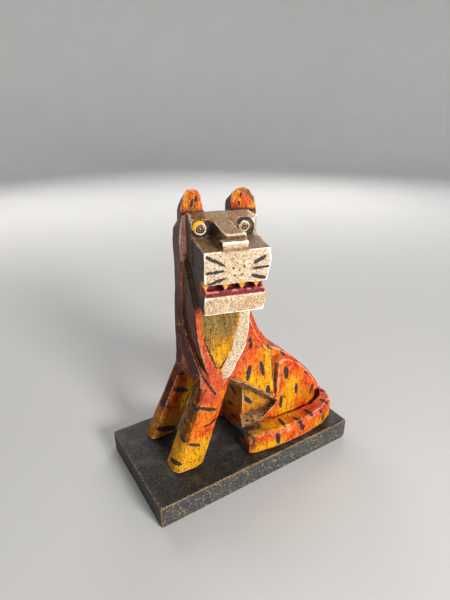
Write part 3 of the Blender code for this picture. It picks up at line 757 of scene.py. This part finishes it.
def centred(tree, pattern):
    """A pattern that swings round a half, made to swing round nought."""
    return sums(tree, "SUBTRACT", pattern, 0.5)


def slope(tree, value, low, high, bottom=0.0, top=1.0):
    """Maps low..high to bottom..top, and stays within them."""
    step = tree.nodes.new("ShaderNodeMapRange")
    step.interpolation_type = "SMOOTHSTEP"
    for socket, given in zip(step.inputs, (value, low, high, bottom, top)):
        feed(tree, socket, given)
    return step.outputs[0]


def mix(tree, factor, first, second, way="MIX"):
    step = tree.nodes.new("ShaderNodeMix")
    step.data_type = "RGBA"
    step.blend_type = way
    feed(tree, step.inputs[0], factor)
    feed(tree, step.inputs[6], first)
    feed(tree, step.inputs[7], second)
    return step.outputs[2]


def places(tree, stretch=(1.0, 1.0, 1.0), turned=(0.0, 0.0, 0.0)):
    """The object's own coordinates in metres, stretched and turned for a pattern."""
    source = tree.nodes.new("ShaderNodeTexCoord")
    step = tree.nodes.new("ShaderNodeMapping")
    tree.links.new(source.outputs["Object"], step.inputs[0])
    step.inputs["Rotation"].default_value = turned
    step.inputs["Scale"].default_value = stretch
    return step.outputs[0]


def noise(tree, vector, per_metre, detail=3.0, roughness=0.6, twist=0.0):
    step = tree.nodes.new("ShaderNodeTexNoise")
    tree.links.new(vector, step.inputs["Vector"])
    step.inputs["Distortion"].default_value = twist
    step.inputs["Scale"].default_value = per_metre
    step.inputs["Detail"].default_value = detail
    step.inputs["Roughness"].default_value = roughness
    return step.outputs["Fac"]


def part_of(tree, shade, name):
    """The red or the blue part of a colour, to tell bright paints from dark and from pale ones."""
    step = tree.nodes.new("ShaderNodeSeparateColor")
    tree.links.new(shade, step.inputs[0])
    return step.outputs[name]


def crackle(tree, vector, per_metre):
    """Distance to the cracks of a net of cells."""
    step = tree.nodes.new("ShaderNodeTexVoronoi")
    step.feature = "DISTANCE_TO_EDGE"
    tree.links.new(vector, step.inputs["Vector"])
    step.inputs["Scale"].default_value = per_metre
    return step.outputs["Distance"]


def bump(tree, height, distance, strength=1.0, below=None):
    step = tree.nodes.new("ShaderNodeBump")
    feed(tree, step.inputs["Height"], height)
    step.inputs["Distance"].default_value = distance
    step.inputs["Strength"].default_value = strength
    if below is not None:
        tree.links.new(below, step.inputs["Normal"])
    return step.outputs[0]


# %% [markdown]
# The painted figure
#
# Poster paint over a pale primer, brushed along the grain, dried to a fine crackle, and then rubbed
# with something oily, so it shines softly. The layers go in the real order: paint, brush streaks,
# speckle where primer shows, the blue-black strokes, dirt with painted shade in the corners, and
# last wear with painted highlights on the edges.

# %% Paint and brush streaks
figure_material, tree, shader = new_material("brushed_paint")
straight = places(tree)
along_brush = places(tree, (1.0, 1.0, 0.22))
grain_lines = places(tree, (0.8, 0.35, 0.8), (0.5, 0.0, 0.0))

streaks = noise(tree, along_brush, 900.0, 4.0, 0.7)
blotches = noise(tree, straight, 160.0, 3.0)
fine = noise(tree, straight, 820.0, 3.0, 0.75)
flecks = noise(tree, straight, 620.0, 2.0, 0.7)
squiggles = noise(tree, along_brush, 430.0, 3.0, 0.7, 1.2)
worms = noise(tree, straight, 400.0, 2.0, 0.6, 1.0)
more_worms = noise(tree, places(tree, (1.0, 1.0, 0.5), (0.4, 0.9, 0.2)), 460.0, 2.0, 0.6, 1.4)

surface = layer(tree, "paint", "Color")
pale = slope(tree, part_of(tree, surface, "Blue"), 0.10, 0.25)
bright = slope(tree, part_of(tree, surface, "Red"), 0.06, 0.30)
vivid = slope(tree, part_of(tree, surface, "Blue"), 0.045, 0.020)
body = sums(tree, "SUBTRACT", 1.0, pale)
deeper = mix(tree, 1.0, surface, (0.42, 0.20, 0.12), "MULTIPLY")
dark_swirls = slope(tree, squiggles, 0.49, 0.38, 0.0, 0.85)
surface = mix(tree, times(tree, dark_swirls, body), surface, deeper)
lighter = mix(tree, 1.0, surface, (0.42, 0.17, 0.01), "SCREEN")
light_swirls = slope(tree, squiggles, 0.55, 0.62, 0.0, 0.6)
surface = mix(tree, times(tree, light_swirls, times(tree, body, bright)), surface, lighter)
dark_hairs = slope(tree, streaks, 0.44, 0.36)
dark_hairs = times(tree, dark_hairs, slope(tree, blotches, 0.4, 0.6, 0.2, 0.8))
surface = mix(tree, times(tree, dark_hairs, body), surface, (0.07, 0.035, 0.02))
print("paint and streaks:", len(tree.nodes), "nodes")

# %% [markdown]
# Crackle
#
# Dried poster paint is crossed by fine wandering lines, dark on the bright colours and tan on the
# cream, and thin gold ones run over the vivid reds. A noise has a line wherever it passes its middle
# value, so its distance from that value draws lines that wander and never repeat.

# %% Crackle, gold lines and speckle
line = slope(tree, sums(tree, "ABSOLUTE", centred(tree, worms)), 0.060, 0.015)
line_tint = mix(tree, pale, (0.20, 0.13, 0.10), (0.50, 0.36, 0.24))
lined = mix(tree, 1.0, surface, line_tint, "MULTIPLY")
patchy = slope(tree, blotches, 0.35, 0.6, 0.45, 0.9)
line_strength = times(tree, line, sums(tree, "MAXIMUM", patchy, layer(tree, "speckle")))
surface = mix(tree, line_strength, surface, lined)
gold_line = sums(tree, "ABSOLUTE", centred(tree, more_worms))
gold_line = slope(tree, gold_line, 0.035, 0.010, 0.0, 0.5)
gold_line = times(tree, gold_line, slope(tree, blotches, 0.62, 0.46))
gold_line = times(tree, gold_line, times(tree, vivid, bright))
surface = mix(tree, gold_line, surface, colour(246, 176, 40))
warm_spots = slope(tree, blotches, 0.45, 0.7, 0.0, 0.25)
surface = mix(tree, warm_spots, surface, (1.0, 0.62, 0.25), "SOFT_LIGHT")
speckled = times(tree, slope(tree, fine, 0.50, 0.58), layer(tree, "speckle"))
speck_colour = mix(tree, slope(tree, flecks, 0.48, 0.60), colour(158, 118, 72), colour(64, 46, 30))
surface = mix(tree, times(tree, speckled, 0.75), surface, speck_colour)
print("with crackle:", len(tree.nodes), "nodes")

# %% [markdown]
# The eyes
#
# From the middle out each eye has a pale dot, a dark pupil, two browns, a white ring that is yellow
# on one side of one eye, and a dark outline. Rings are steps of one distance from the eye's centre,
# and a little noise in that distance makes them look brushed by hand.

# %% Eyes
eye_a, eye_b = layer(tree, "eye_across"), layer(tree, "eye_up")
eye_radius = sums(tree, "ADD", sums(tree, "POWER", eye_a, 2.0), sums(tree, "POWER", eye_b, 2.0))
eye_radius = sums(tree, "SQRT", eye_radius)
right_eye = layer(tree, "right_eye")
eye_radius = sums(tree, "ADD", eye_radius, times(tree, right_eye, 0.28))
eye_radius = sums(tree, "ADD", eye_radius, times(tree, centred(tree, flecks), 0.9))
on_eye = sums(tree, "ADD", eye_radius, layer(tree, "eye_off"))
rings = mix(tree, slope(tree, eye_radius, 0.26, 0.38), colour(196, 186, 160), colour(20, 20, 22))
rings = mix(tree, slope(tree, eye_radius, 0.8, 0.9), rings, colour(140, 108, 70))
rings = mix(tree, slope(tree, eye_radius, 1.12, 1.22), rings, colour(44, 32, 24))
crescent = times(tree, slope(tree, sums(tree, "SUBTRACT", eye_b, eye_a), 0.3, 1.2),
                sums(tree, "SUBTRACT", 1.0, right_eye))
white = mix(tree, crescent, colour(224, 208, 180), colour(246, 184, 24))
rings = mix(tree, slope(tree, eye_radius, 1.7, 1.82), rings, white)
outline = sums(tree, "SUBTRACT", eye_radius, times(tree, crescent, 0.35))
rings = mix(tree, slope(tree, outline, 2.30, 2.42), rings, colour(30, 32, 36))
surface = mix(tree, slope(tree, on_eye, 2.9, 2.7), surface, rings)
print("with eyes:", len(tree.nodes), "nodes")

# %% Blue-black strokes with a ragged, slightly worn edge
ragged = times(tree, centred(tree, noise(tree, straight, 900.0, 2.0)), 0.8)
wavering = times(tree, centred(tree, noise(tree, straight, 330.0, 1.0)), 0.6)
stroke_edge = sums(tree, "ADD", layer(tree, "ink"), sums(tree, "ADD", ragged, wavering))
inked = slope(tree, stroke_edge, 0.10, -0.06)
inked = times(tree, inked, slope(tree, streaks, 0.24, 0.40, 0.55, 0.96))
ink_colour = mix(tree, slope(tree, flecks, 0.4, 0.7), colour(22, 27, 35), colour(50, 58, 68))
surface = mix(tree, inked, surface, ink_colour)
print("with strokes:", len(tree.nodes), "nodes")

# %% Bare chopped wood, with its grain, and dirt with painted shade in the corners
fibres = noise(tree, grain_lines, 620.0, 4.0, 0.7)
wood = mix(tree, slope(tree, fibres, 0.40, 0.58), colour(60, 38, 24), BARE_WOOD)
bared = slope(tree, sums(tree, "ADD", layer(tree, "bare"), centred(tree, flecks)), 0.42, 0.62)
surface = mix(tree, bared, surface, wood)
dirty_and_shaded = times(tree, layer(tree, "dirt_and_shade"), slope(tree, blotches, 0.3, 0.6, 0.45, 0.8))
surface = mix(tree, dirty_and_shaded, surface, (0.035, 0.02, 0.014))
print("with bare wood and dirt:", len(tree.nodes), "nodes")

# %% Rubbed edges, where the pale primer shows, and painted highlights along the edges
wear_and_light = sums(tree, "ADD", layer(tree, "rubbed_and_lit"), times(tree, centred(tree, fine), 1.3))
pale_wear_and_light = slope(tree, wear_and_light, 0.62, 0.95)
pale_wear_and_light = times(tree, pale_wear_and_light, slope(tree, pale, 0.0, 1.0, 0.5, 1.0))
primer_and_highlight = mix(tree, pale, colour(236, 190, 156), colour(252, 244, 228))
surface = mix(tree, pale_wear_and_light, surface, primer_and_highlight)
print("with rubbed edges:", len(tree.nodes), "nodes")

# %% Soft shine and fine relief
feed(tree, shader.inputs["Base Color"], surface)
shine = slope(tree, streaks, 0.3, 0.7, 0.36, 0.52)
feed(tree, shader.inputs["Roughness"], sums(tree, "ADD", shine, times(tree, bared, 0.3)))
shader.inputs["Specular IOR Level"].default_value = 0.14

cracks = slope(tree, crackle(tree, straight, 620.0), 0.0, 0.08)
relief = bump(tree, fine, 0.0004, 0.5)
relief = bump(tree, streaks, 0.0005, 0.5, relief)
relief = bump(tree, cracks, 0.00015, 0.35, relief)
relief = bump(tree, times(tree, fibres, bared), 0.0012, 0.8, relief)
tree.links.new(relief, shader.inputs["Normal"])
carving.data.materials.append(figure_material)
print("brushed_paint:", len(tree.nodes), "nodes")

# %% [markdown]
# The board
#
# A plain plank, brushed with thin dark paint that has rubbed through to golden wood along every
# edge and in scattered flecks on its long side. It is worked like the figure, with a coarser net. The
# flecks come from noise alone and form no signs.

# %% Net and masks of the board
BOARD_NET = 0.0013
board = fine_copy("plinth_board", "board_painted", BOARD_NET)
apply_modifier(board, "SMOOTH", factor=0.5, iterations=1)
dents(board, "plank_waves", "CLOUDS", 0.02, 0.0003)
_, board_facing, board_proud, _ = read_points(board)
store(board, "rubbed_and_lit", rise(board_proud, 0.05, 0.45))
store(board, "upward", rise(board_facing[:, 2], 0.4, 0.8))
store(board, "frontward", rise(board_facing[:, 1], -0.4, -0.8))
print("board:", len(board.data.polygons), "squares")

# %% Material of the board
board_material, tree, shader = new_material("dark_board_paint")
straight = places(tree)
along_plank = places(tree, (1.0, 0.12, 1.0))
plank_grain = noise(tree, along_plank, 700.0, 4.0, 0.65)
fine = noise(tree, straight, 1100.0, 3.0, 0.75)
patches = noise(tree, straight, 70.0, 3.0)
flecks = noise(tree, straight, 520.0, 3.0, 0.8)
upward = layer(tree, "upward")
# Painted shade and reflection: the top is painted darker than the sides, and the sides a lighter bluish grey
# as a painted reflection
surface = mix(tree, upward, colour(52, 58, 66), colour(20, 20, 20))
surface = mix(tree, slope(tree, plank_grain, 0.4, 0.65, 0.0, 0.5), surface, colour(28, 28, 28))
surface = mix(tree, slope(tree, patches, 0.45, 0.7, 0.0, 0.35), surface, colour(92, 84, 72))
pale_dust = times(tree, slope(tree, fine, 0.55, 0.64), 0.26)
surface = mix(tree, pale_dust, surface, colour(150, 146, 136))
gold = slope(tree, flecks, 0.575, 0.62)
fewer_on_top = sums(tree, "SUBTRACT", 0.75, times(tree, upward, 0.66))
gold = times(tree, gold, fewer_on_top)
surface = mix(tree, gold, surface, colour(190, 158, 96))
in_shade = times(tree, layer(tree, "frontward"), 0.92)
surface = mix(tree, in_shade, surface, colour(13, 12, 11))
wear_and_light = sums(tree, "ADD", layer(tree, "rubbed_and_lit"), times(tree, centred(tree, fine), 1.2))
surface = mix(tree, slope(tree, wear_and_light, 0.92, 1.12, 0.0, 0.85), surface, colour(176, 140, 84))
feed(tree, shader.inputs["Base Color"], surface)
feed(tree, shader.inputs["Roughness"], slope(tree, plank_grain, 0.3, 0.7, 0.42, 0.62))
shader.inputs["Specular IOR Level"].default_value = 0.3
relief = bump(tree, plank_grain, 0.0004, 0.5)
relief = bump(tree, fine, 0.0003, 0.4, relief)
tree.links.new(relief, shader.inputs["Normal"])
board.data.materials.append(board_material)
print("dark_board_paint:", len(tree.nodes), "nodes")

# %% [markdown]
# Studio
#
# A wide round dish makes floor and backdrop one pale surface from any side. The key light stands low
# on the tiger's left, so that the face is bright and the chest stays dark, as in the photograph. A
# weak one in front fills the shadows, and two behind and beside it light the sides that the photograph
# doesn't show. They are hidden from the camera, so that no view has a bright disc in it.

# %% Floor
DISH_RADIUS = 1.9
COVE_PARTS = 8
COVE = 0.5
WALL_HEIGHT = 1.6
bpy.ops.object.select_all(action="DESELECT")
bpy.ops.mesh.primitive_circle_add(vertices=96, radius=DISH_RADIUS, fill_type="NGON",
                                  location=(0.0, 0.0, 0.0))
floor = bpy.context.object
floor.name = "studio_floor"
bpy.ops.object.mode_set(mode="EDIT")
bpy.ops.mesh.select_all(action="SELECT")
for part in range(COVE_PARTS):
    now = math.pi / 2 * part / COVE_PARTS
    then = math.pi / 2 * (part + 1) / COVE_PARTS
    widening = (DISH_RADIUS + COVE * math.sin(then)) / (DISH_RADIUS + COVE * math.sin(now))
    if part == 0:
        bpy.ops.mesh.select_mode(type="EDGE")
        bpy.ops.mesh.select_all(action="SELECT")
    bpy.ops.mesh.extrude_edges_move(
        TRANSFORM_OT_translate={"value": (0.0, 0.0, COVE * (math.cos(now) - math.cos(then)))})
    bpy.ops.transform.resize(value=(widening, widening, 1.0))
bpy.ops.mesh.extrude_edges_move(TRANSFORM_OT_translate={"value": (0.0, 0.0, WALL_HEIGHT)})
bpy.ops.object.mode_set(mode="OBJECT")
bpy.ops.object.shade_smooth()
print("dish:", len(floor.data.polygons), "faces")

# %% Pale paper on the floor
floor_material, tree, shader = new_material("pale_paper")
paper = noise(tree, places(tree), 9.0, 2.0)
from_middle = tree.nodes.new("ShaderNodeVectorMath")
from_middle.operation = "LENGTH"
tree.links.new(places(tree), from_middle.inputs[0])
far_off = slope(tree, from_middle.outputs["Value"], 0.3, 1.6)
paper_tone = mix(tree, far_off, (0.56, 0.555, 0.545), (0.86, 0.855, 0.85))
paper_tone = mix(tree, slope(tree, paper, 0.3, 0.7, 0.0, 0.06), paper_tone, (0.5, 0.5, 0.5))
feed(tree, shader.inputs["Base Color"], paper_tone)
shader.inputs["Roughness"].default_value = 0.85
floor.data.materials.append(floor_material)
print("pale_paper:", len(tree.nodes), "nodes")


# %% Lights
FIGURE_MIDDLE = Vector((0.0, 0.0, 0.12))


def soft_light(name, azimuth, height, distance, size, power, tint):
    """A round light that looks at the figure's middle. Azimuth 0 is in front, at -Y."""
    data = bpy.data.lights.new(name, "AREA")
    data.shape = "DISK"
    data.size = size
    data.energy = power
    data.color = tint
    item = bpy.data.objects.new(name, data)
    bpy.context.scene.collection.objects.link(item)
    round_about, up = math.radians(azimuth), math.radians(height)
    flat = math.cos(up)
    way = Vector((math.sin(round_about) * flat, -math.cos(round_about) * flat, math.sin(up)))
    item.location = FIGURE_MIDDLE + way * distance
    item.rotation_euler = way.to_track_quat("Z", "Y").to_euler()
    item.visible_camera = False
    print("%s light: %.1f W at %.1f m" % (name, power, distance))


soft_light("key", 96.0, 22.0, 1.1, 0.36, 15.0, (1.0, 0.98, 0.95))
soft_light("fill", 40.0, 45.0, 1.3, 1.0, 0.6, (0.96, 0.98, 1.0))
soft_light("back", 222.0, 28.0, 1.5, 0.8, 7.0, (1.0, 0.98, 0.96))
soft_light("far side", 274.0, 28.0, 1.5, 0.8, 6.5, (1.0, 0.98, 0.96))
world = bpy.data.worlds.new("studio_air")
bpy.context.scene.world = world
world.use_nodes = True
air = world.node_tree.nodes["Background"]
air.inputs["Color"].default_value = (0.96, 0.97, 1.0, 1.0)
air.inputs["Strength"].default_value = 0.24

# %% [markdown]
# Joining the looks to the frame
#
# Nothing moves on this object, so both pieces ride on the one body, and each solid that a piece stands in
# for is hidden.

# %% Ride on the body, and hide the plain solids
for piece, node, slot_name in (
        (carving, "tiger", "painted_figure"), (board, "plinth_board", "painted_board")):
    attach(piece, "root")
    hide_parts(node)
